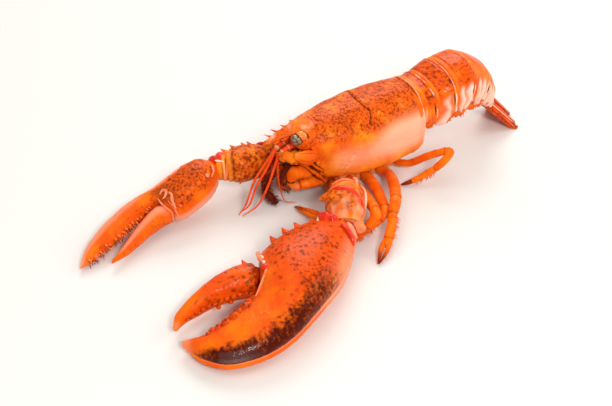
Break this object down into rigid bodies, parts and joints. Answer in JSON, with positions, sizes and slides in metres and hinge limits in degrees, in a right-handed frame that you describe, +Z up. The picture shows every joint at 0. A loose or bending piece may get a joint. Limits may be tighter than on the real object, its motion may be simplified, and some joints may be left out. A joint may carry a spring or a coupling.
{
  "type": "cooked lobster",
  "caption": "Whole cooked lobster resting with claws forward: a broad crusher, a slim cutter, folded walking legs, arched tail with its fan on the ground.",
  "frame": {"origin": "middle of the footprint's box on the ground under the lobster", "axes": "+Z up; the head and claws point to -Y and the tail to +Y; the lobster's left side, with the crusher claw, is +X"},
  "size_m": [0.2062, 0.3518, 0.0699],
  "materials": {
    "head_shell": "glossy orange-red shell with fine brown mottling and a salmon sheen",
    "underside": "paler orange plates between the legs",
    "eye": "wet pearly grey-brown ball",
    "feelers": "thin ringed red whips",
    "mouth_limbs": "orange limbs with dark red-brown bristles",
    "tail_shell": "salmon-pink and orange overlapping rings, glossy",
    "tail_fan": "orange-red ribbed blades with a hairy rim",
    "swimmerets": "thin yellow-orange flaps",
    "crusher_shell": "hard glossy orange shell with brown dots and a dark maroon outer band",
    "cutter_shell": "hard glossy red-orange shell, olive-brown mottling on its upper face",
    "leg_shell": "smooth bright orange tubes, red-brown at the joints, pale bristles"
  },
  "bodies": {
    "root": {"carapace": "head_shell", "sternum": "underside", "eye_left": "eye", "antenna_base_left": "head_shell", "antennule_left": "feelers", "maxilliped_left": "mouth_limbs", "eye_right": "eye", "antenna_base_right": "head_shell", "antennule_right": "feelers", "maxilliped_right": "mouth_limbs", "mouthparts": "mouth_limbs", "abdomen_1": "tail_shell", "abdomen_2": "tail_shell", "abdomen_3": "tail_shell", "abdomen_4": "tail_shell", "abdomen_5": "tail_shell", "abdomen_6": "tail_shell", "telson": "tail_fan", "uropod_left_inner": "tail_fan", "uropod_left_outer": "tail_fan", "swimmeret_left_2": "swimmerets", "swimmeret_left_3": "swimmerets", "swimmeret_left_4": "swimmerets", "uropod_right_inner": "tail_fan", "uropod_right_outer": "tail_fan", "swimmeret_right_2": "swimmerets", "swimmeret_right_3": "swimmerets", "swimmeret_right_4": "swimmerets", "arm_left_merus": "crusher_shell", "arm_right_merus": "cutter_shell", "arm_left_carpus": "crusher_shell", "arm_right_carpus": "cutter_shell", "arm_left_propodus": "crusher_shell", "arm_right_propodus": "cutter_shell", "arm_left_dactylus": "crusher_shell", "arm_right_dactylus": "cutter_shell", "leg_left_1_merus": "leg_shell", "leg_left_1_carpus": "leg_shell", "leg_left_1_propodus": "leg_shell", "leg_left_1_dactylus": "leg_shell", "leg_right_1_merus": "leg_shell", "leg_right_1_propodus": "leg_shell", "leg_left_2_merus": "leg_shell", "leg_left_2_carpus": "leg_shell", "leg_left_2_propodus": "leg_shell", "leg_left_2_dactylus": "leg_shell", "leg_right_2_merus": "leg_shell", "leg_right_2_propodus": "leg_shell", "leg_left_3_merus": "leg_shell", "leg_left_3_carpus": "leg_shell", "leg_left_3_propodus": "leg_shell", "leg_left_3_dactylus": "leg_shell", "leg_right_3_merus": "leg_shell", "leg_right_3_propodus": "leg_shell", "leg_left_4_merus": "leg_shell", "leg_left_4_carpus": "leg_shell", "leg_left_4_propodus": "leg_shell", "leg_left_4_dactylus": "leg_shell", "leg_right_4_merus": "leg_shell", "leg_right_4_propodus": "leg_shell"}
  },
  "joints": []
}
